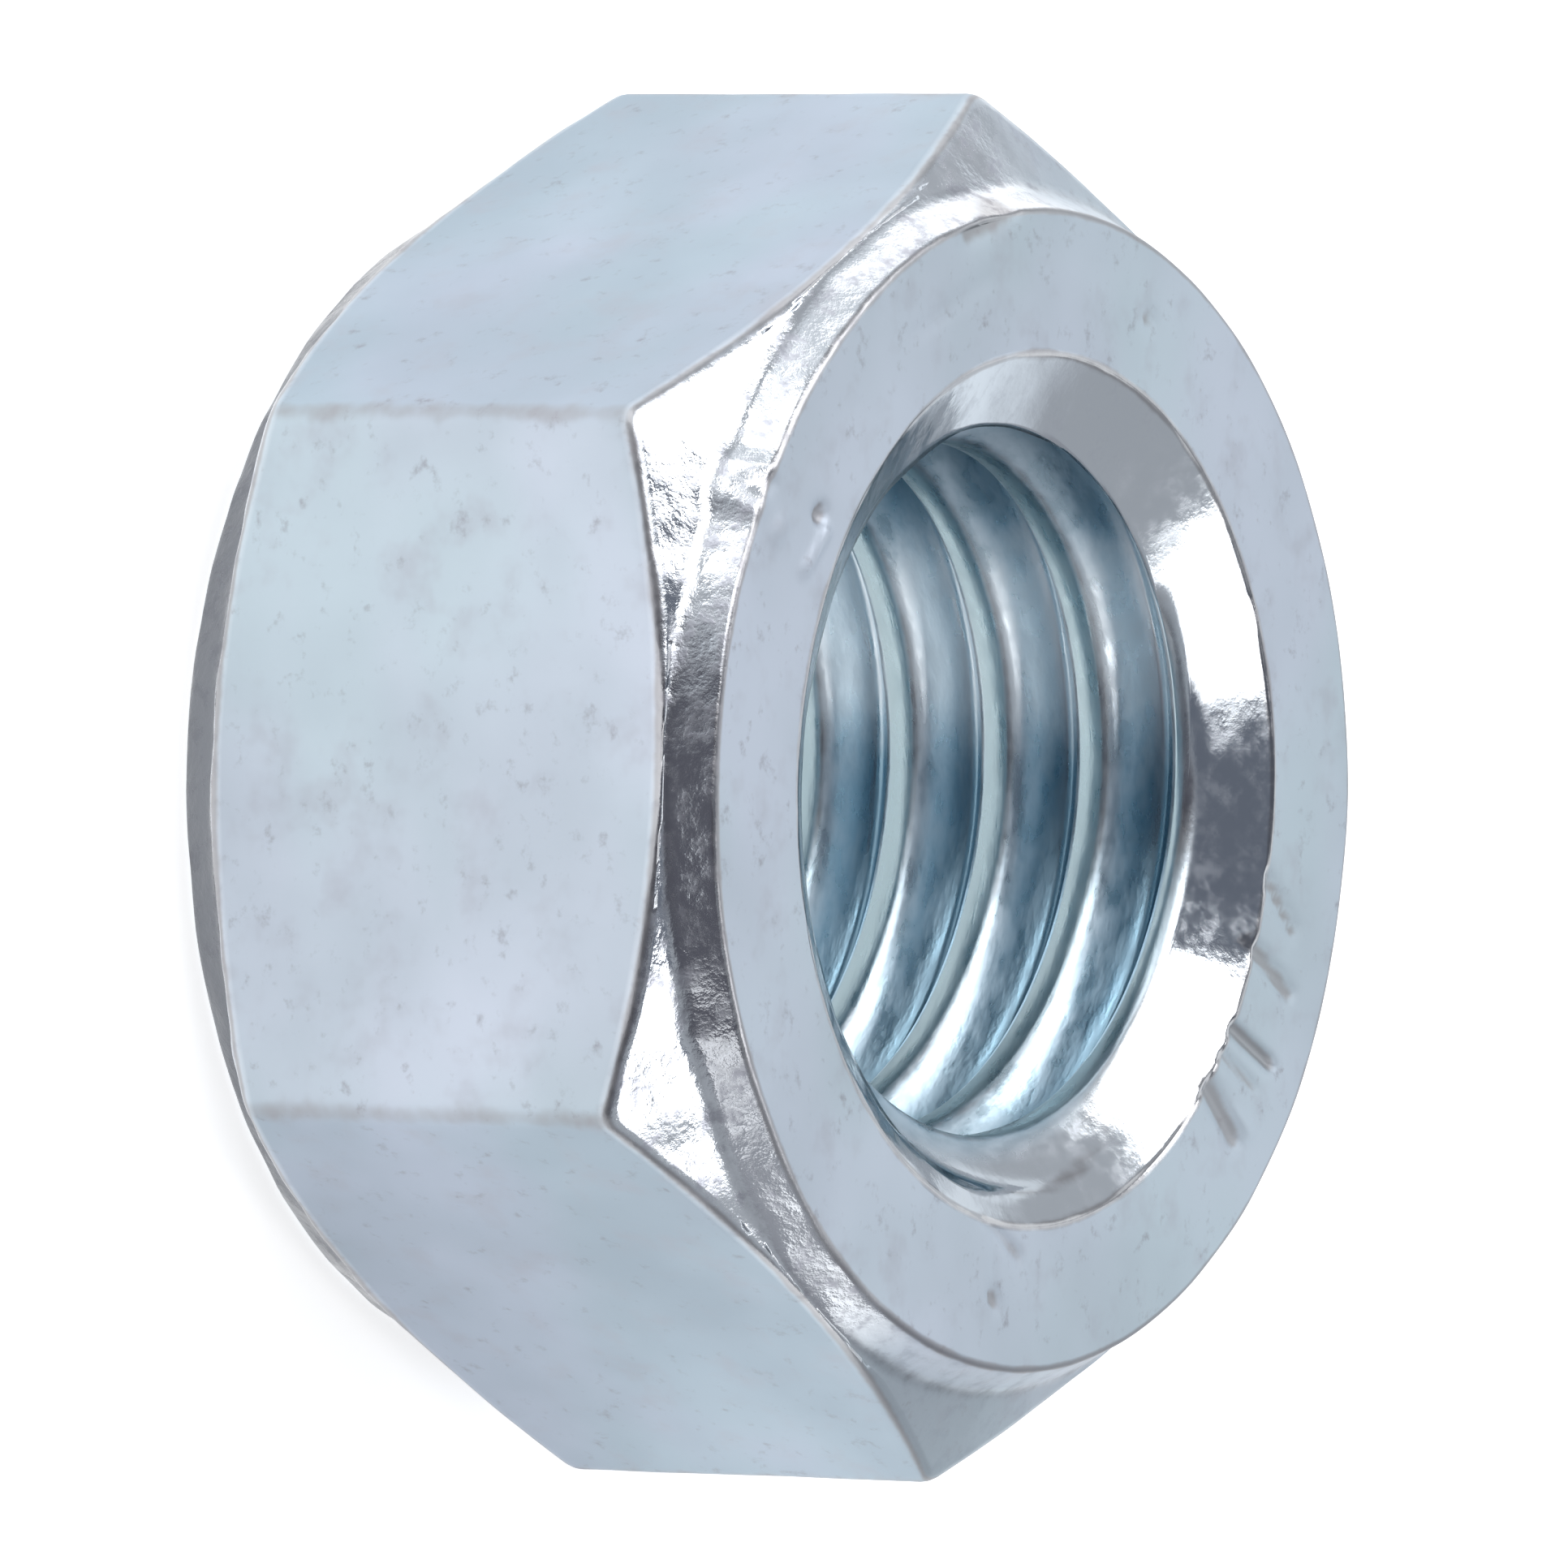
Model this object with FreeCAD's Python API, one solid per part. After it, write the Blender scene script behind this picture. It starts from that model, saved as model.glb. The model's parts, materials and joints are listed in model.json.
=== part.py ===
import FreeCAD, Part
import math
import os

# Hexagon nut, M14 x 2 right hand, with a raised washer face on both sides.
# Units are millimetres. The nut lies flat: its thread axis is +Z, its lower bearing face is in
# the plane z = 0 and the origin is the centre of that face. Two of its six corners lie on X.

# Hexagon
ACROSS_FLATS = 21.0
HEIGHT = 11.0
CORNER_RADIUS = 0.5

# Raised washer face on each side, its drafted step, and the cone that chamfers the corners
WASHER_FACE_INSET = 0.45
WASHER_FACE_STEP = 0.82
STEP_DRAFT_ANGLE = 25.0
CHAMFER_ANGLE = 30.0

# Thread: ISO metric profile, right hand. The start angle sets where the groove lies at z = 0.
THREAD_DIAMETER = 14.0
THREAD_PITCH = 2.0
THREAD_DEPTH = 1.0
THREAD_FLANK_ANGLE = 60.0
THREAD_START_ANGLE = 245.0

# Countersink at each mouth of the thread
COUNTERSINK_MARGIN = 0.55
COUNTERSINK_ANGLE = 120.0

# The bore is cut in sectors, so that no crest face goes further round than one of them
BORE_SECTORS = 8

# How far a cutting tool stands clear of the surface that it cuts through
TOOL_CLEARANCE = 1.0
GROOVE_CLEARANCE = 0.12

AXIS_UP = FreeCAD.Vector(0, 0, 1)
ORIGIN = FreeCAD.Vector(0, 0, 0)

washer_radius = ACROSS_FLATS / 2.0 - WASHER_FACE_INSET
shoulder_radius = washer_radius + WASHER_FACE_STEP * math.tan(math.radians(STEP_DRAFT_ANGLE))
root_radius = THREAD_DIAMETER / 2.0
crest_radius = root_radius - THREAD_DEPTH
mouth_radius = root_radius + COUNTERSINK_MARGIN


def point(radius, height, angle=0.0):
    """A point given by its distance from the axis, its height and its angle in degrees."""
    turn = math.radians(angle)
    return FreeCAD.Vector(radius * math.cos(turn), radius * math.sin(turn), height)


def turned_solid(outline):
    """The solid that an outline of (radius, height) pairs makes when it turns round the axis."""
    corners = [point(radius, height) for radius, height in outline]
    face = Part.Face(Part.makePolygon(corners + corners[:1]))
    return face.revolve(ORIGIN, AXIS_UP, 360.0)


def hexagon_prism():
    """The plain prism, with its six long corners rounded."""
    corner_distance = ACROSS_FLATS / 2.0 / math.cos(math.radians(30.0))
    corners = [point(corner_distance, 0.0, 60.0 * index) for index in range(7)]
    prism = Part.Face(Part.makePolygon(corners)).extrude(AXIS_UP * HEIGHT)
    long_edges = [
        edge for edge in prism.Edges
        if abs(edge.tangentAt(edge.FirstParameter).z) > 0.5
    ]
    return prism.makeFillet(CORNER_RADIUS, long_edges)


def end_envelope():
    """The turned shape that leaves a washer face and a corner chamfer at both ends."""
    outer_radius = ACROSS_FLATS
    chamfer_slope = math.tan(math.radians(CHAMFER_ANGLE))
    chamfer_drop = WASHER_FACE_STEP + (outer_radius - shoulder_radius) * chamfer_slope
    lower_end = [
        (0.0, 0.0),
        (washer_radius, 0.0),
        (shoulder_radius, WASHER_FACE_STEP),
    ]
    upper_end = [(radius, HEIGHT - height) for radius, height in reversed(lower_end)]
    middle_height = HEIGHT / 2.0
    if chamfer_drop < middle_height:
        waist = [(outer_radius, chamfer_drop), (outer_radius, HEIGHT - chamfer_drop)]
    else:
        waist_radius = shoulder_radius + (middle_height - WASHER_FACE_STEP) / chamfer_slope
        waist = [(waist_radius, middle_height)]
    return turned_solid(lower_end + waist + upper_end)


def countersink(upper):
    """The cone that opens one mouth of the thread, carried on a little outside the nut."""
    slope = math.tan(math.radians(COUNTERSINK_ANGLE / 2.0))
    tip_depth = mouth_radius / slope
    outline = [
        (0.0, tip_depth),
        (mouth_radius + TOOL_CLEARANCE * slope, -TOOL_CLEARANCE),
        (0.0, -TOOL_CLEARANCE),
    ]
    if upper:
        outline = [(radius, HEIGHT - height) for radius, height in outline]
    return turned_solid(outline)


def bore_sectors():
    """The drilled bore as equal sectors of a cylinder."""
    sector_angle = 360.0 / BORE_SECTORS
    foot = FreeCAD.Vector(0, 0, -TOOL_CLEARANCE)
    length = HEIGHT + 2.0 * TOOL_CLEARANCE
    sector = Part.makeCylinder(crest_radius, length, foot, AXIS_UP, sector_angle)
    sectors = []
    for index in range(BORE_SECTORS):
        copy = sector.copy()
        copy.rotate(ORIGIN, AXIS_UP, sector_angle * index)
        sectors.append(copy)
    return sectors


def thread_helix():
    """The helix of the groove's root, joined from single turns, from below the nut to above it."""
    turns = []
    for index in range(math.ceil(HEIGHT / THREAD_PITCH) + 2):
        turn = Part.makeHelix(THREAD_PITCH, THREAD_PITCH, root_radius)
        turn.translate(AXIS_UP * THREAD_PITCH * index)
        turns.extend(turn.Edges)
    return Part.Wire(turns)


def thread_groove():
    """The right-hand helical tool that cuts the thread."""
    flank_slope = math.tan(math.radians(THREAD_FLANK_ANGLE / 2.0))
    inner_radius = crest_radius - GROOVE_CLEARANCE
    root_half_width = THREAD_PITCH / 16.0
    inner_half_width = root_half_width + (root_radius - inner_radius) * flank_slope
    profile = [
        point(inner_radius, -inner_half_width),
        point(root_radius, -root_half_width),
        point(root_radius, root_half_width),
        point(inner_radius, inner_half_width),
    ]
    sweep = Part.BRepOffsetAPI.MakePipeShell(thread_helix())
    sweep.setFrenetMode(True)
    sweep.add(Part.makePolygon(profile + profile[:1]))
    sweep.build()
    sweep.makeSolid()
    groove = sweep.shape()
    groove.translate(AXIS_UP * -THREAD_PITCH)
    groove.rotate(ORIGIN, AXIS_UP, THREAD_START_ANGLE)
    return groove


def hex_nut():
    """The whole nut as one solid."""
    blank = hexagon_prism().common(end_envelope())
    drilled = blank.cut(bore_sectors())
    opened = drilled.cut([countersink(False), countersink(True)])
    return opened.cut(thread_groove())


def save_part(name, shape):
    """Write one named solid as a STEP file, after a check that it is one sound solid."""
    solids = shape.Solids
    if len(solids) != 1 or not solids[0].isValid():
        raise ValueError(name + " is not one valid solid")
    solids[0].exportStep(os.path.join("parts", name + ".step"))
    print(name, "volume", round(solids[0].Volume, 2), "faces", len(solids[0].Faces))


os.makedirs("parts", exist_ok=True)
save_part("hex_nut", hex_nut())
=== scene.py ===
import json
import math

import bpy
import numpy as np
from mathutils import Matrix, Vector


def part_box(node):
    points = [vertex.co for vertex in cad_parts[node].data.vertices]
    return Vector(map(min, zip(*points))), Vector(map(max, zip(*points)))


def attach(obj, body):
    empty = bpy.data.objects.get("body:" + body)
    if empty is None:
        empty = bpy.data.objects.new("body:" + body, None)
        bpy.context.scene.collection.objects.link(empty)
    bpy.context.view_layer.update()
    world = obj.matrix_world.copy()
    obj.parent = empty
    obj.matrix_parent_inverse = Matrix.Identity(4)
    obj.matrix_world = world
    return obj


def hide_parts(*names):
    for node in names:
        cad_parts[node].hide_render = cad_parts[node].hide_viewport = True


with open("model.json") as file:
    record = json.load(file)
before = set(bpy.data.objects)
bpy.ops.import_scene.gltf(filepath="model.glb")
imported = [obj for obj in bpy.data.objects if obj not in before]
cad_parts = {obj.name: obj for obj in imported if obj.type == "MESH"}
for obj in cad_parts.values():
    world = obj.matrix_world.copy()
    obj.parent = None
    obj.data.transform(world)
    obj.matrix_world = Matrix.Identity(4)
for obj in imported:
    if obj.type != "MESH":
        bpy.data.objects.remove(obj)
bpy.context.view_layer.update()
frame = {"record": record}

# ---------------------------------------------------------------- sizes, in millimetres

MM = 0.001
THIRTY = math.radians(30.0)

nut_low, nut_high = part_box("hex_nut")
HEIGHT = (nut_high[2] - nut_low[2]) / MM
FLAT_RADIUS = (nut_high[1] - nut_low[1]) / MM / 2.0
thread_mount = next(m for m in frame["record"]["mounts"] if m["name"] == "thread")
CREST_RADIUS = thread_mount["dims"]["r_mm"]

CORNER_RADIUS = 0.5
CORNER_ARC_REACH = math.radians(1.19)
WASHER_INSET = 0.45
WASHER_RADIUS = FLAT_RADIUS - WASHER_INSET
WASHER_STEP = 0.82
STEP_DRAFT_ANGLE = math.radians(25.0)
STEP_DRAFT = WASHER_STEP * math.tan(STEP_DRAFT_ANGLE)
CHAMFER_SLOPE = math.tan(THIRTY)

THREAD_DEPTH = 1.0
COUNTERSINK_MARGIN = 0.55
ROOT_RADIUS = CREST_RADIUS + THREAD_DEPTH
MOUTH_RADIUS = ROOT_RADIUS + COUNTERSINK_MARGIN
COUNTERSINK_SLOPE = math.tan(THIRTY)
PITCH = 2.0
FLANK_SLOPE = 1.0 / math.tan(THIRTY)
ROOT_HALF_WIDTH = PITCH / 16.0
CREST_HALF_WIDTH = PITCH / 2.0 - ROOT_HALF_WIDTH - (ROOT_RADIUS - CREST_RADIUS) / FLANK_SLOPE
GROOVE_START = math.radians(245.0)
RING_INSET = 0.3

# Widths over which the thread's crest, its root and its run-out into the countersink are rounded
CREST_ROUNDING = 0.30
ROOT_ROUNDING = 0.45
RUN_OUT_ROUNDING = 0.06

# Middle of the front flat, of the struck part of the chamfer and of the thread's painted highlight
FRONT_ANGLE = math.radians(270.0)
STRUCK_ANGLE = math.radians(258.0)
SHEEN_ANGLE = math.radians(116.0)

# ---------------------------------------------------------------- small numpy tools


def smooth_max(a, b, width):
    """The larger of two values, with a parabola of the given width where they are nearly equal."""
    near = np.clip(width - np.abs(a - b), 0.0, None) / width
    return np.maximum(a, b) + near * near * width / 4.0


def smooth_min(a, b, width):
    """The smaller of two values, rounded in the same way."""
    return -smooth_max(-a, -b, width)


def fade(value, start, end):
    """0 at start, 1 at end, along the cubic 3t^2 - 2t^3."""
    t = np.clip((value - start) / (end - start), 0.0, 1.0)
    return t * t * (3.0 - 2.0 * t)


def ripple(points, wavelength, seed, waves=28):
    """Smooth unevenness of size 1: sine waves of about one length in random directions, added."""
    random = np.random.default_rng(seed)
    direction = random.normal(size=(waves, 3))
    direction /= np.linalg.norm(direction, axis=1)[:, None]
    length = wavelength * random.uniform(0.75, 1.35, waves)
    phase = random.uniform(0.0, 2.0 * math.pi, waves)
    total = np.zeros(points.shape[:-1])
    for index in range(waves):
        total += np.sin(points @ direction[index] * (2.0 * math.pi / length[index]) + phase[index])
    return total / math.sqrt(waves / 2.0)


def ring_points(radius, angle, height):
    """Points from their distance from the axis, their angle and their height."""
    return np.stack([radius * np.cos(angle), radius * np.sin(angle), height], axis=-1)


# ---------------------------------------------------------------- columns round the axis


def column_angles(steps_at_corner=6, steps_on_flat=24):
    """Angles round the axis: even small steps over each rounded corner, then steps that grow
    towards the middle of the flat as 0.6t + 0.4t^2."""
    corner_reach = math.radians(1.5)
    near = np.linspace(0.0, corner_reach, steps_at_corner + 1)
    t = np.linspace(0.0, 1.0, steps_on_flat + 1)[1:]
    half = np.concatenate([near, corner_reach + (THIRTY - corner_reach) * (0.6 * t + 0.4 * t * t)])
    sector = np.concatenate([half, 2.0 * THIRTY - half[1:-1][::-1]])
    return (sector[None, :] + 2.0 * THIRTY * np.arange(6)[:, None]).ravel()


def hexagon_radius(angle):
    """Distance from the axis to the hexagon: flat faces, joined by an arc at each corner."""
    from_corner = (angle + THIRTY) % (2.0 * THIRTY) - THIRTY
    flat = FLAT_RADIUS / np.cos(THIRTY - np.abs(from_corner))
    arc_centre = (FLAT_RADIUS - CORNER_RADIUS) / math.cos(THIRTY)
    across = arc_centre * np.sin(from_corner)
    rise = np.sqrt(np.clip(CORNER_RADIUS ** 2 - across ** 2, 0.0, None))
    arc = arc_centre * np.cos(from_corner) + rise
    return np.where(np.abs(from_corner) < CORNER_ARC_REACH, arc, flat)


# ---------------------------------------------------------------- outside: faces, chamfers, flats


def rounded_profile(corners, cuts, arc_rows, run_rows):
    """Rows of an open profile. Runs are straight, with rows closer towards their ends, and each
    inner corner becomes a parabola between the two points that lie its cut away from it. Returns
    the rows, and for each row its place: the number of its run, with the part between two runs
    rising from one number to the next."""
    rows, places = [corners[0]], [0.0]
    for index, steps in enumerate(run_rows):
        start, corner = rows[-1], corners[index + 1]
        last = index == len(run_rows) - 1
        back = corners[index] - corner
        before = np.linalg.norm(back, axis=-1, keepdims=True)
        end = corner if last else corner + back / before * np.minimum(cuts[index], 0.45 * before)
        for step in range(1, steps + 1):
            rows.append(start + (end - start) * (1.0 - math.cos(math.pi * step / steps)) / 2.0)
            places.append(float(index))
        if last:
            break
        ahead = corners[index + 2] - corner
        after = np.linalg.norm(ahead, axis=-1, keepdims=True)
        beyond = corner + ahead / after * np.minimum(cuts[index], 0.45 * after)
        for step in range(1, arc_rows + 1):
            t = step / arc_rows
            rows.append((1.0 - t) ** 2 * end + 2.0 * t * (1.0 - t) * corner + t ** 2 * beyond)
            places.append(index + t)
    return np.stack(rows), np.array(places)


def outside_rows(angle):
    """Radius and height of the outside, from the upper countersink's ring, over the washer face,
    down its step, the cone and the flat, and back in underneath in the same way."""
    hexagon = hexagon_radius(angle)
    chamfer_drop = WASHER_STEP + (hexagon - WASHER_RADIUS - STEP_DRAFT) * CHAMFER_SLOPE
    upper = [
        (MOUTH_RADIUS - RING_INSET, HEIGHT - RING_INSET * COUNTERSINK_SLOPE),
        (MOUTH_RADIUS, HEIGHT),
        (WASHER_RADIUS, HEIGHT),
        (WASHER_RADIUS + STEP_DRAFT, HEIGHT - WASHER_STEP),
        (hexagon, HEIGHT - chamfer_drop),
    ]
    lower = [(radius, HEIGHT - height) for radius, height in reversed(upper)]
    blank = np.zeros_like(angle)
    corners = [np.stack([radius + blank, height + blank], axis=-1) for radius, height in upper + lower]
    cuts = [0.09, 0.10, 0.20, 0.22]
    runs = [2, 24, 4, 9]
    return rounded_profile(corners, cuts + cuts[::-1], 4, runs + [16] + runs[::-1])


def distance_along_rows(rows, place, corner_places):
    """Distance along the profile from each point to the nearest of the named corners."""
    steps = np.linalg.norm(np.diff(rows, axis=0), axis=-1)
    length = np.concatenate([np.zeros_like(steps[:1]), np.cumsum(steps, axis=0)])
    corner_rows = [int(np.argmin(np.abs(place - corner))) for corner in corner_places]
    return np.min([np.abs(length - length[row]) for row in corner_rows], axis=0)


def surface_normals(grid):
    """Outward direction at each point of a (row, column) grid that closes round the columns."""
    along = np.gradient(grid, axis=0)
    around = np.roll(grid, -1, axis=1) - np.roll(grid, 1, axis=1)
    normal = np.cross(along, around)
    return normal / np.linalg.norm(normal, axis=-1, keepdims=True)


# Knocks on the upper face: start, end (x, y), half width and depth. A negative depth is a burr.
KNOCKS = [
    ((-5.15, -8.88), (-4.70, -9.12), 0.30, -0.09),
    ((-4.95, -8.72), (-4.82, -8.82), 0.20, 0.08),
    ((-4.20, -8.38), (-4.10, -8.44), 0.20, -0.07),
    ((-4.50, -7.16), (-4.44, -7.20), 0.16, 0.14),
    ((-4.15, -6.98), (-3.50, -7.55), 0.13, -0.08),
    ((1.25, 7.45), (2.20, 8.40), 0.14, 0.08),
    ((2.41, 6.94), (3.30, 8.32), 0.15, 0.10),
    ((3.85, 6.30), (4.53, 7.74), 0.15, 0.10),
    ((4.35, 6.00), (4.95, 7.20), 0.12, 0.06),
    ((4.87, 5.61), (5.83, 6.62), 0.20, 0.12),
    ((5.45, 6.60), (5.75, 7.10), 0.14, -0.05),
    ((7.40, -1.27), (8.05, -0.15), 0.14, 0.05),
    ((8.87, -0.85), (8.80, -0.95), 0.15, 0.08),
    ((7.82, -0.99), (8.75, -0.90), 0.08, 0.03),
    ((-8.34, 3.04), (-8.28, 2.95), 0.15, 0.07),
    ((-7.64, -4.45), (-8.76, -2.10), 0.14, 0.03),
    ((-9.50, -2.75), (-10.05, -1.45), 0.26, 0.08),
]


def knock_depth(points):
    """How deep the knocks go at each point: each is a bell curve across a short line."""
    flat = points[..., :2]
    depth = np.zeros(points.shape[:-1])
    for start, end, half_width, deep in KNOCKS:
        start, run = np.array(start), np.array(end) - np.array(start)
        t = np.clip(((flat - start) @ run) / (run @ run), 0.0, 1.0)
        away = np.linalg.norm(flat - start - t[..., None] * run, axis=-1)
        depth += deep * np.exp(-(away / half_width) ** 2)
    return depth * fade(points[..., 2], HEIGHT - 2.0, HEIGHT - 1.0)


def outside_grid(angle):
    """The outside as a (row, column) grid of points, pressed in along its normals by the knocks
    and the unevenness of forged and turned steel. Also returns its masks: where it is turned,
    next to the bore or worn at an edge, and where painted shade darkens the foot of a step, every
    flat but the front one, and the +X side of the upper washer face's edge."""
    rows, place = outside_rows(angle)
    grid = ring_points(rows[..., 0], angle[None, :], rows[..., 1])
    from_struck = np.abs((angle - STRUCK_ANGLE + math.pi) % (2.0 * math.pi) - math.pi)
    struck = 1.0 - 0.85 * fade(from_struck, 1.25, 1.5)
    bored = np.interp(place, [0.5, 1.0, 7.0, 7.5], [1, 0, 0, 1])[:, None] * np.ones_like(struck)
    chamfered = np.interp(place, [1, 2, 3, 4, 5, 6, 7], [0, 1, 1, 0, 1, 1, 0])[:, None] * struck
    turned = np.maximum(chamfered, bored)
    swell = 0.012 * ripple(grid, 7.0, 3) + 0.004 * ripple(grid, 2.2, 4)
    forged = 0.012 * ripple(grid, 1.5, 5) + 0.005 * ripple(grid, 0.8, 6)
    away_from_ring = fade(np.minimum(place, 8.0 - place), 0.0, 1.0)[:, None]
    knocked = knock_depth(grid)
    press = knocked - swell * (1.0 - turned) - forged * turned
    from_edge = distance_along_rows(rows, place, (0.5, 1.5, 3.5, 4.5, 6.5, 7.5))
    on_flat = np.interp(place, [3.2, 3.8, 4.2, 4.8], [0, 1, 1, 0])[:, None]
    on_step = np.interp(place, [1.0, 1.3, 1.9, 2.2], [0.0, 1.3, 1.3, 0.0])[:, None]
    # Painted shade: every flat but the front one, and the +X side of the upper washer face's edge, are
    # darkened.
    from_front = np.abs(angle - FRONT_ANGLE)
    from_corner = np.abs((angle + THIRTY) % (2.0 * THIRTY) - THIRTY)[None, :] * rows[..., 0]
    short_edge = np.exp(-(from_edge / 0.10) ** 2)
    long_corner = on_flat * np.exp(-(from_corner / 0.28) ** 2) * 0.65
    # Painted shade at the foot of each step: light on the upper side, dark on the lower side.
    foot_places = [1.6, 2.0, 2.6, 3.2, 5.2, 5.6, 6.4, 6.6]
    step_foot_shade = np.interp(place, foot_places, [0, 0.3, 0.5, 0, 0, 1.2, 1.2, 0])
    masks = {
        "turned": turned,
        "bored": bored,
        "edge": np.max([short_edge, long_corner, np.clip(knocked / 0.08, 0.0, 1.0)], axis=0),
        "valley": step_foot_shade[:, None] * np.ones_like(struck),
        "tone": on_flat * fade(from_front, 0.50, 0.55) + on_step * fade(np.cos(angle), 0.75, 0.95),
    }
    return grid - surface_normals(grid) * (press * away_from_ring)[..., None], masks


# ---------------------------------------------------------------- inside: countersinks and thread


def thread_rows():
    """Heights of one pitch's rows, from root to root: closest at the edges of the crest."""
    crest_edge = PITCH / 2.0 - CREST_HALF_WIDTH
    root = np.linspace(0.0, crest_edge - 0.10, 7)
    edge = np.linspace(crest_edge - 0.10, crest_edge + 0.10, 5)[1:]
    half = np.concatenate([root, edge, [PITCH / 2.0]])
    return np.concatenate([half, PITCH - half[1:-1][::-1]])


def thread_radius(lead_height):
    """Radius of the thread at a height above a root's middle: a flat crest and root, joined by
    flanks, with the crest's edges broken and the root's more rounded."""
    from_crest = np.abs(lead_height % PITCH - PITCH / 2.0)
    flank = CREST_RADIUS + (from_crest - CREST_HALF_WIDTH) * FLANK_SLOPE
    return smooth_min(smooth_max(flank, CREST_RADIUS, CREST_ROUNDING), ROOT_RADIUS, ROOT_ROUNDING)


def inside_grid(angle, ring_low, ring_high):
    """The bore as rows that follow the thread's lead, so that each row climbs one pitch a turn.
    The radius at each point is the largest of the thread's and the two countersinks'. Returns
    points, whether each lies between the two rings, and the masks."""
    lead = PITCH * (angle - GROOVE_START) / (2.0 * math.pi)
    turns = np.arange(
        math.floor((ring_low - lead.max() - PITCH) / PITCH),
        math.ceil((ring_high - lead.min() + PITCH) / PITCH),
    )
    row = (turns[:, None] * PITCH + thread_rows()[None, :]).ravel()
    height = row[:, None] + lead[None, :]
    upper = MOUTH_RADIUS - (HEIGHT - height) / COUNTERSINK_SLOPE
    lower = MOUTH_RADIUS - height / COUNTERSINK_SLOPE
    cone = np.maximum(upper, lower)
    thread = thread_radius(row)[:, None] + np.zeros_like(height)
    radius = smooth_max(thread, cone, RUN_OUT_ROUNDING)
    inside = (height > ring_low + 0.004) & (height < ring_high - 0.004)
    points = ring_points(radius, angle[None, :], height)
    hammered = 0.009 * ripple(points, 1.6, 7) + 0.003 * ripple(points, 0.8, 8)
    drawn = 0.006 * ripple(points * np.array([0.3, 0.3, 1.6]), 0.9, 9)
    on_cone = fade(cone - thread, -0.02, 0.1)
    near_ring = fade(np.minimum(height - ring_low, ring_high - height), 0.0, 0.25)
    push = (hammered * on_cone + drawn * (1.0 - on_cone)) * near_ring
    outward = np.stack([np.cos(angle), np.sin(angle), 0.0 * angle], axis=-1)[None, :, :]

    mouth_depth = np.minimum(height, HEIGHT - height)
    threaded = (1.0 - on_cone) * fade(mouth_depth, 0.7, 1.1)
    from_crest = np.abs(row % PITCH - PITCH / 2.0)[:, None] - CREST_HALF_WIDTH
    crest_edge = np.exp(-(from_crest / 0.07) ** 2) * threaded * 0.6
    masks = {
        "turned": 1.0 - threaded,
        "threaded": threaded,
        "crest": fade(-from_crest, -0.02, 0.12) * threaded,
        "sheen": np.exp(-((angle - SHEEN_ANGLE) / 0.33) ** 2)[None, :] * threaded,
        "bored": 1.0 - threaded,
        "groove": fade(thread - CREST_RADIUS, 0.0, 1.0) * threaded,
        "edge": np.maximum(np.exp(-((cone - thread) / 0.10) ** 2) * 0.7, crest_edge),
        "valley": 0.0 * height,
        "tone": 0.0 * height,
    }
    return points + outward * push[..., None], inside, masks


# ---------------------------------------------------------------- one closed mesh


def strip_triangles(index, next_index):
    """Two triangles for each cell between the columns of two index grids, without the ones that
    have lost a side where rows run together."""
    a, b = index[:-1], index[1:]
    c, d = next_index[1:], next_index[:-1]
    cells = np.stack([np.stack([a, b, c], axis=-1), np.stack([a, c, d], axis=-1)]).reshape(-1, 3)
    whole = (cells[:, 0] != cells[:, 1]) & (cells[:, 1] != cells[:, 2]) & (cells[:, 2] != cells[:, 0])
    return cells[whole]


def make_mesh(name, points, triangles, masks):
    """A smooth mesh from points in millimetres and triangles, with one value of each mask a point."""
    mesh = bpy.data.meshes.new(name)
    mesh.vertices.add(len(points))
    mesh.vertices.foreach_set("co", (points * MM).astype(np.float32).ravel())
    mesh.loops.add(3 * len(triangles))
    mesh.loops.foreach_set("vertex_index", triangles.astype(np.int32).ravel())
    mesh.polygons.add(len(triangles))
    mesh.polygons.foreach_set("loop_start", np.arange(0, 3 * len(triangles), 3, dtype=np.int32))
    mesh.polygons.foreach_set("loop_total", np.full(len(triangles), 3, dtype=np.int32))
    mesh.polygons.foreach_set("use_smooth", np.ones(len(triangles), dtype=bool))
    for mask_name, values in masks.items():
        layer = mesh.attributes.new(mask_name, "FLOAT", "POINT")
        layer.data.foreach_set("value", values.astype(np.float32))
    mesh.update(calc_edges=True)
    mesh.validate()
    obj = bpy.data.objects.new(name, mesh)
    bpy.context.scene.collection.objects.link(obj)
    return obj


def nut_shell():
    """The nut's whole skin as one closed mesh: the outside's rows run from the upper ring to the
    lower one, and the bore's rows join the two rings again."""
    angle = column_angles()
    outside, outside_masks = outside_grid(angle)
    rows, columns = outside.shape[:2]
    outside_index = np.arange(rows * columns).reshape(rows, columns)
    ring_low, ring_high = outside[-1, 0, 2], outside[0, 0, 2]

    inside, between, inside_masks = inside_grid(angle, ring_low, ring_high)
    own_number = np.cumsum(between.ravel()).reshape(between.shape) - 1 + rows * columns
    above = inside[..., 2] > HEIGHT / 2.0
    ring_number = np.where(above, outside_index[0][None, :], outside_index[-1][None, :])
    inside_index = np.where(between, own_number, ring_number)

    per_turn = len(thread_rows())
    seam_index = inside_index[:, 0]
    wrapped = np.concatenate([seam_index[per_turn:], np.full(per_turn, outside_index[0, 0])])
    next_inside = np.concatenate([inside_index[:, 1:], wrapped[:, None]], axis=1)
    triangles = np.concatenate([
        strip_triangles(outside_index, np.roll(outside_index, -1, axis=1)),
        strip_triangles(inside_index, next_inside),
    ])
    points = np.concatenate([outside.reshape(-1, 3), inside[between]])
    masks = {}
    for name, inner in inside_masks.items():
        outer = outside_masks.get(name, np.zeros(outside.shape[:2]))
        masks[name] = np.concatenate([outer.ravel(), inner[between]])
    return make_mesh("hex_nut_shell", points, triangles, masks)


# ---------------------------------------------------------------- materials


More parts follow.
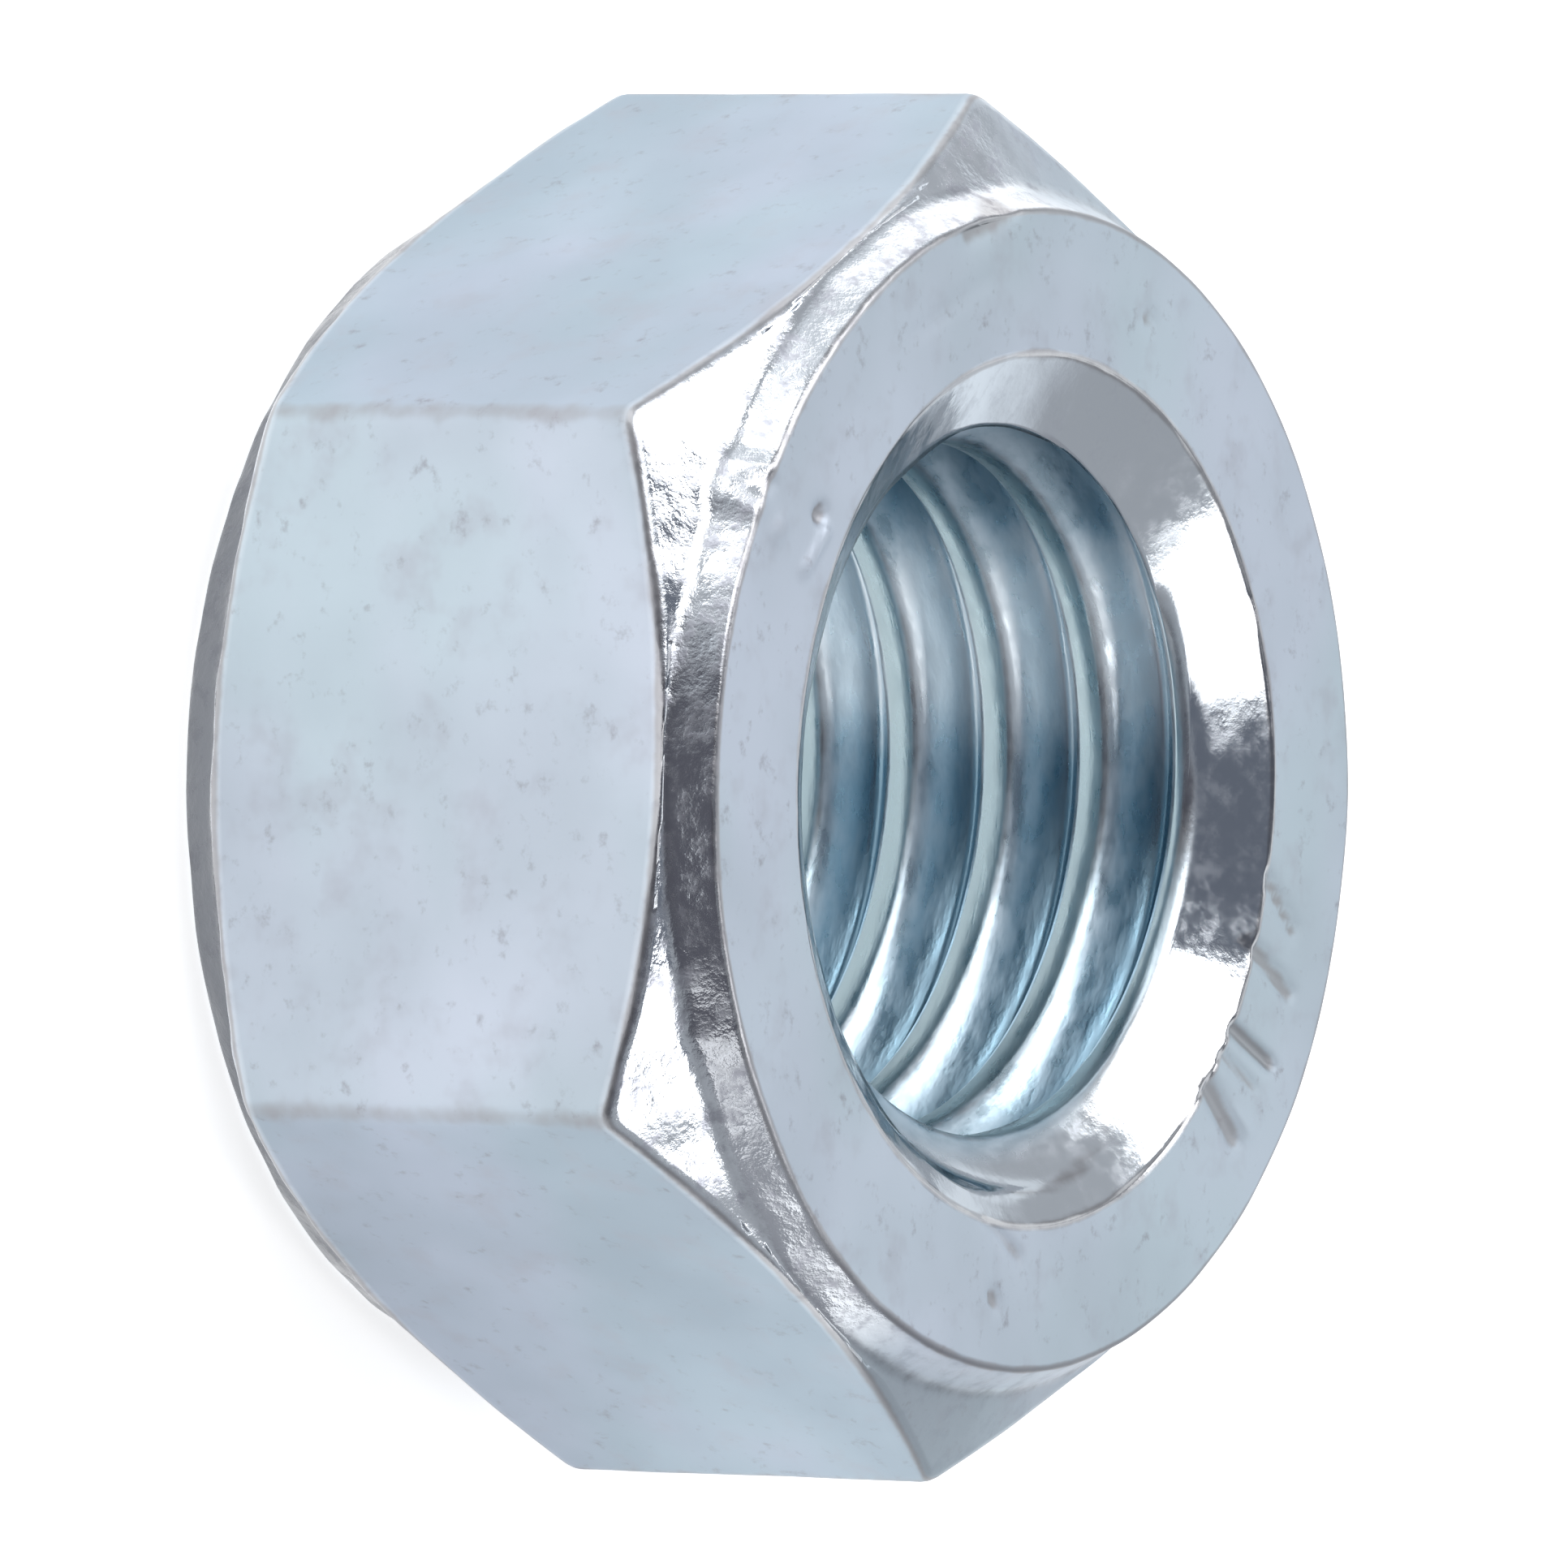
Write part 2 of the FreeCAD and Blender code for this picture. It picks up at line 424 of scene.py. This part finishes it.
class Signal:
    """One output of a shader node. Arithmetic on it adds Math nodes to the same tree."""

    def __init__(self, finish, socket):
        self.finish = finish
        self.socket = socket

    def math(self, operation, *others):
        sockets = dict(enumerate((self,) + others))
        return self.finish.add("ShaderNodeMath", {"operation": operation}, sockets)

    def __add__(self, other):
        return self.math("ADD", other)

    def __sub__(self, other):
        return self.math("SUBTRACT", other)

    def __rsub__(self, other):
        return self.finish.add("ShaderNodeMath", {"operation": "SUBTRACT"}, {0: other, 1: self})

    def __mul__(self, other):
        return self.math("MULTIPLY", other)

    __radd__ = __add__
    __rmul__ = __mul__


class Finish:
    """A material, or a world, that is built up from node outputs."""

    def __init__(self, owner):
        self.owner = owner
        owner.use_nodes = True
        self.tree = owner.node_tree
        self.tree.nodes.clear()

    def add(self, kind, settings=None, sockets=None, output=0):
        """Adds a node, sets its settings, then fills its sockets with values or signals."""
        node = self.tree.nodes.new(kind)
        for name, value in (settings or {}).items():
            setattr(node, name, value)
        for name, value in (sockets or {}).items():
            if isinstance(value, Signal):
                self.tree.links.new(value.socket, node.inputs[name])
            else:
                node.inputs[name].default_value = value
        return Signal(self, node.outputs[output]) if node.outputs else None

    def mask(self, name):
        """A value that the mesh carries at each point."""
        return self.add("ShaderNodeAttribute", {"attribute_name": name}, output="Fac")

    def place(self, stretch=(1.0, 1.0, 1.0)):
        """Position on the nut, in millimetres, stretched along X, Y and Z."""
        position = self.add("ShaderNodeTexCoord", output="Object")
        scale = tuple(value / MM for value in stretch)
        return self.add("ShaderNodeMapping", {}, {"Vector": position, "Scale": scale})

    def noise(self, where, size, detail=2.0, roughness=0.5):
        """Cloudy values about 0.5, whose blots are about size millimetres across."""
        sockets = {"Vector": where, "Scale": 0.5 / size, "Detail": detail, "Roughness": roughness}
        return self.add("ShaderNodeTexNoise", {}, sockets)

    def spread(self, value, low, high, to_low=0.0, to_high=1.0):
        """A smooth step from to_low at low to to_high at high."""
        sockets = {
            "Value": value,
            "From Min": low,
            "From Max": high,
            "To Min": to_low,
            "To Max": to_high,
        }
        return self.add("ShaderNodeMapRange", {"interpolation_type": "SMOOTHSTEP"}, sockets)

    def blend(self, amount, first, second, mode="MIX"):
        """Two colours mixed."""
        settings = {"data_type": "RGBA", "blend_type": mode}
        return self.add("ShaderNodeMix", settings, {0: amount, 6: first, 7: second}, output=2)


def zinc_plate():
    """Zinc plate: satin blue-grey on flats and faces, bright and pitted where the chamfers and
    countersinks were struck and turned, smooth and teal in the thread."""
    finish = Finish(bpy.data.materials.new("zinc_plate"))
    where = finish.place()
    turned = finish.mask("turned")
    threaded = finish.mask("threaded")
    crest = finish.mask("crest")
    groove = finish.mask("groove")
    sheen = finish.mask("sheen")
    bored = finish.mask("bored")
    edge = finish.mask("edge")
    valley = finish.mask("valley")
    tone = finish.mask("tone")

    cloud = finish.noise(where, 2.4, 3.0)
    tint = finish.noise(finish.place((0.7, 1.0, 1.3)), 3.4, 2.0)
    grain = finish.noise(where, 0.14, 4.0, 0.6)
    speck = finish.noise(where, 0.20, 4.0, 0.65)
    blotch = finish.noise(where, 0.55, 3.0, 0.6)
    pitting = finish.noise(where, 0.22, 4.0, 0.65)
    streak = finish.noise(finish.place((0.25, 0.25, 1.0)), 0.10, 3.0, 0.6)

    satin = finish.blend(finish.spread(tint, 0.4, 0.62), (0.485, 0.565, 0.615, 1), (0.520, 0.565, 0.640, 1))
    satin = finish.blend(finish.spread(cloud, 0.35, 0.7) * 0.5, satin, (0.44, 0.50, 0.545, 1))
    # Painted shade: darkens every flat but the front one, and the +X side of the upper washer face's edge.
    shade = tone * finish.spread(tint, 0.2, 0.7, 1.0, 0.75)
    satin = finish.blend(shade, satin, (0.80, 0.83, 0.87, 1), "MULTIPLY")
    satin = finish.blend(finish.spread(blotch, 0.50, 0.78) * 0.45, satin, (0.40, 0.41, 0.46, 1))
    satin = finish.blend(finish.spread(speck, 0.57, 0.80) * 0.60, satin, (0.26, 0.25, 0.28, 1))
    bright = finish.blend(finish.spread(pitting, 0.5, 0.68), (0.78, 0.81, 0.85, 1), (0.58, 0.59, 0.65, 1))
    bright = finish.blend(bored * 0.8, bright, (0.72, 0.76, 0.80, 1))
    teal = finish.blend(finish.spread(streak, 0.35, 0.65), (0.52, 0.65, 0.73, 1), (0.68, 0.79, 0.87, 1))
    # Painted shade: the thread darkens towards its root.
    teal = finish.blend(groove * 0.85, teal, (0.20, 0.35, 0.45, 1))
    # Painted highlight on the thread's far wall.
    teal = finish.blend(finish.spread(sheen + streak * 0.5, 0.40, 1.1) * 0.90, teal, (0.90, 0.96, 1.0, 1))
    teal = finish.blend(crest * 0.9, teal, (0.42, 0.53, 0.56, 1))

    colour = finish.blend(turned, satin, bright)
    colour = finish.blend(threaded, colour, teal)
    worn = finish.spread(edge + blotch * 0.9, 0.75, 1.35)
    colour = finish.blend(worn * 0.6, colour, (0.30, 0.275, 0.27, 1))
    # Painted shade at the foot of each step, strongest on the lower side.
    shaded = finish.spread(valley + pitting * 0.6, 0.5, 1.3) * 0.9
    colour = finish.blend(shaded, colour, (0.15, 0.16, 0.18, 1))

    satin_roughness = finish.spread(cloud, 0.3, 0.7, 0.46, 0.56)
    bright_roughness = finish.spread(pitting, 0.4, 0.7, 0.14, 0.34) * (1.0 - bored * 0.35)
    roughness = satin_roughness * (1.0 - turned) + bright_roughness * turned
    roughness = roughness * (1.0 - threaded) + threaded * finish.spread(streak, 0.3, 0.7, 0.24, 0.40)

    relief = grain * 0.0016 + speck * 0.004
    relief = relief * (1.0 - turned) + pitting * turned * (0.026 - bored * 0.021)
    relief = relief * (1.0 - threaded) + streak * threaded * 0.012
    bump = finish.add("ShaderNodeBump", {}, {"Strength": 1.0, "Distance": MM, "Height": relief})

    shader = finish.add("ShaderNodeBsdfPrincipled", {}, {
        "Base Color": colour,
        "Roughness": roughness,
        "Metallic": 1.0,
        "Normal": bump,
    })
    finish.add("ShaderNodeOutputMaterial", {}, {"Surface": shader})
    return finish.owner


def pale_paper():
    """A plain pale floor."""
    finish = Finish(bpy.data.materials.new("pale_paper"))
    shader = finish.add("ShaderNodeBsdfPrincipled", {}, {
        "Base Color": (0.70, 0.70, 0.70, 1),
        "Roughness": 0.8,
        "Emission Color": (1.0, 1.0, 1.0, 1),
        "Emission Strength": 0.72,
    })
    finish.add("ShaderNodeOutputMaterial", {}, {"Surface": shader})
    return finish.owner


# ---------------------------------------------------------------- studio


FLOOR_HALF_WIDTH = 3.0
FLOOR_GAP = 0.05 * MM

CAMERA_AZIMUTH = math.radians(1.37)
CAMERA_ELEVATION = math.radians(33.58)
CAMERA_ROLL = math.radians(91.20)
CAMERA_DISTANCE = 0.4236
CAMERA_OFFSET = (0.16 * MM, 0.012 * MM, 0.0)
CAMERA_LENS = 558.0


def floor():
    """A wide level sheet that the nut lies on."""
    half = FLOOR_HALF_WIDTH
    mesh = bpy.data.meshes.new("floor")
    level = float(nut_low[2]) - FLOOR_GAP
    corners = [(-half, -half, level), (half, -half, level), (half, half, level), (-half, half, level)]
    mesh.from_pydata(corners, [], [(0, 1, 2, 3)])
    obj = bpy.data.objects.new("floor", mesh)
    bpy.context.scene.collection.objects.link(obj)
    obj.data.materials.append(pale_paper())


def softbox(name, direction, distance, width, length, brightness, colour=(1.0, 1.0, 1.0)):
    """A rectangular light of even brightness that faces the nut's middle from a direction."""
    light = bpy.data.lights.new(name, "AREA")
    light.shape = "RECTANGLE"
    light.size = width
    light.size_y = length
    light.energy = brightness * math.pi * width * length
    light.color = colour
    obj = bpy.data.objects.new(name, light)
    bpy.context.scene.collection.objects.link(obj)
    towards = Vector(direction).normalized()
    obj.location = middle + towards * distance
    obj.rotation_mode = "QUATERNION"
    obj.rotation_quaternion = (-towards).to_track_quat("-Z", "Y")


def studio_world():
    """The room round the table: pale and bright low down, greyer above, dark overhead and behind
    the camera, and brighter on the side that the daylight comes from."""
    world = bpy.data.worlds.new("studio")
    bpy.context.scene.world = world
    room = Finish(world)
    towards = room.add("ShaderNodeTexCoord", output="Generated")
    x, y, z = (room.add("ShaderNodeSeparateXYZ", {}, {0: towards}, output=axis) for axis in range(3))
    low = room.spread(z + room.spread(x, -0.25, -0.45) * 0.18, 0.34, 0.43, 1.0, 0.0)
    overhead = room.spread(z, 0.82, 0.93)
    camera_side = room.spread(y, -0.40, -0.65) * room.spread(x, -0.5, -0.2)
    daylight = room.spread(x, 0.2, -0.9)
    opposite = room.spread(y, 0.50, 0.75) * room.spread(x * x, 0.18, 0.05)
    wall = room.blend(daylight, (0.40, 0.42, 0.45, 1), (0.45, 0.47, 0.50, 1))
    wall = room.blend(opposite, wall, (1.22, 1.26, 1.29, 1))
    backdrop = room.blend(daylight, (0.88, 0.94, 1.00, 1), (0.72, 0.76, 0.80, 1))
    far_side = room.spread(x, 0.30, 0.60)
    backdrop = room.blend(far_side, backdrop, (0.32, 0.33, 0.36, 1))
    colour = room.blend(low, wall, backdrop)
    colour = room.blend(camera_side * room.spread(z, 0.0, 0.08), colour, (0.10, 0.10, 0.12, 1))
    colour = room.blend(overhead, colour, (0.14, 0.155, 0.19, 1))
    background = room.add("ShaderNodeBackground", {}, {"Color": colour, "Strength": 1.0})
    room.add("ShaderNodeOutputWorld", {}, {"Surface": background})


def camera():
    """A long lens, turned on its side so that the thread's axis points to the right."""
    back = Vector((
        math.sin(CAMERA_AZIMUTH) * math.cos(CAMERA_ELEVATION),
        -math.cos(CAMERA_AZIMUTH) * math.cos(CAMERA_ELEVATION),
        math.sin(CAMERA_ELEVATION),
    ))
    data = bpy.data.cameras.new("camera")
    data.lens = CAMERA_LENS
    data.sensor_width = 36.0
    data.clip_start = 0.01
    data.clip_end = 20.0
    obj = bpy.data.objects.new("camera", data)
    bpy.context.scene.collection.objects.link(obj)
    level_turn = (-back).to_track_quat("-Z", "Y").to_matrix()
    turn = level_turn @ Matrix.Rotation(CAMERA_ROLL, 3, "Z")
    target = middle + turn @ Vector(CAMERA_OFFSET)
    obj.matrix_world = Matrix.Translation(target + back * CAMERA_DISTANCE) @ turn.to_4x4()
    bpy.context.scene.camera = obj


middle = Vector((0.0, 0.0, HEIGHT * MM / 2.0))
shell = nut_shell()
shell.data.materials.append(zinc_plate())
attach(shell, "root")
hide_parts("hex_nut")

floor()
studio_world()
softbox("upper_softbox", (-0.50, 0.25, 0.83), 0.5, 0.24, 0.24, 4.2)
softbox("front_softbox", (-0.60, -0.36, 0.72), 0.5, 0.42, 0.25, 2.8)
softbox("side_softbox", (-0.82, -0.54, 0.20), 0.6, 0.36, 0.16, 1.9)
softbox("lower_softbox", (0.36, 0.11, 0.92), 0.5, 0.20, 0.20, 2.6)
softbox("step_softbox", (0.79, -0.57, 0.20), 0.6, 0.22, 0.12, 0.75)
camera()
bpy.context.scene.view_settings.view_transform = "Standard"
